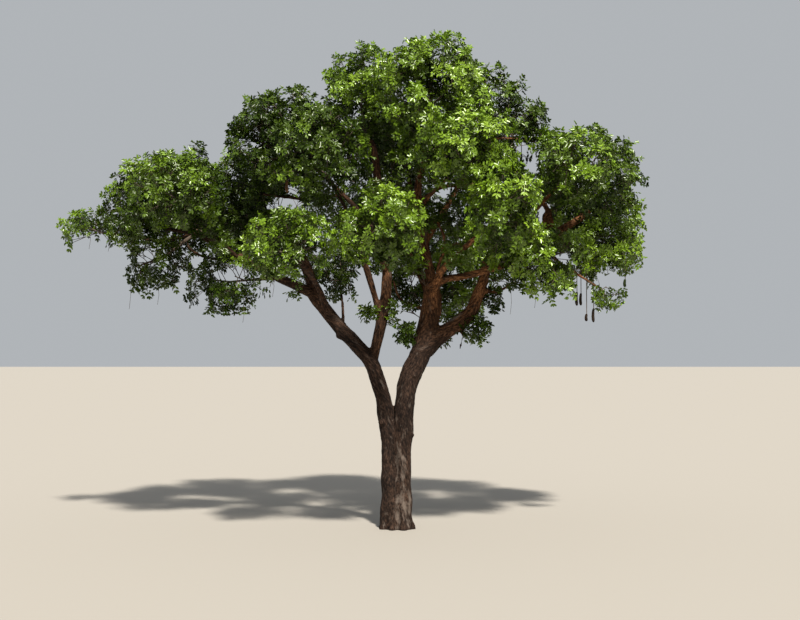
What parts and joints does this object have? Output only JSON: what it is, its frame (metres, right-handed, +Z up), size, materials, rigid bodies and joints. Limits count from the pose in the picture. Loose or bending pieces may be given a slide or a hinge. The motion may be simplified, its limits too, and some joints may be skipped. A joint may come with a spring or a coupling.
{
  "type": "sausage tree",
  "caption": "Broad spreading savanna tree with a short stout trunk, bent boughs, leafy masses and long hanging fruits.",
  "frame": {"origin": "middle of the flat cut under the trunk, at ground level", "axes": "+Z up, +X to the tree's right as seen from its front, +Y towards its back"},
  "size_m": [15.6441, 9.9981, 12.8935],
  "materials": {
    "bark": "rough, dull, grey-brown bark with paler scaling patches",
    "foliage": "leathery green leaves with a slight gloss, yellow-green in the sun"
  },
  "bodies": {
    "root": {"back_centre": "foliage", "back_east": "foliage", "back_top": "foliage", "back_west": "foliage", "bough_centre": "bark", "bough_centre_west": "bark", "bough_east": "bark", "bough_east_far": "bark", "bough_east_low": "bark", "bough_west": "bark", "bough_west_far": "bark", "branch_back_centre": "bark", "branch_back_east": "bark", "branch_back_top": "bark", "branch_back_west": "bark", "branch_centre_hang": "bark", "branch_east_droop": "bark", "branch_east_front": "bark", "branch_east_upper": "bark", "branch_front_centre": "bark", "branch_front_east": "bark", "branch_front_northwest": "bark", "branch_front_top": "bark", "branch_front_west": "bark", "branch_northwest": "bark", "branch_northwest_low": "bark", "branch_top_east": "bark", "branch_west_front": "bark", "branch_west_hang": "bark", "branch_west_tip": "bark", "centre_deep": "foliage", "centre_hang": "foliage", "centre_low": "foliage", "east_droop": "foliage", "east_front": "foliage", "east_low": "foliage", "east_upper": "foliage", "front_centre": "foliage", "front_east": "foliage", "front_northwest": "foliage", "front_top": "foliage", "front_west": "foliage", "leader_centre": "bark", "leader_west": "bark", "northwest": "foliage", "northwest_low": "foliage", "southeast": "foliage", "top_centre": "foliage", "top_east": "foliage", "top_west": "foliage", "trunk": "bark", "tuft_bend": "foliage", "tuft_east": "foliage", "tuft_fork": "foliage", "west_crest": "foliage", "west_droop": "foliage", "west_front": "foliage", "west_hang": "foliage", "west_outer": "foliage", "west_tip": "foliage"}
  },
  "joints": []
}
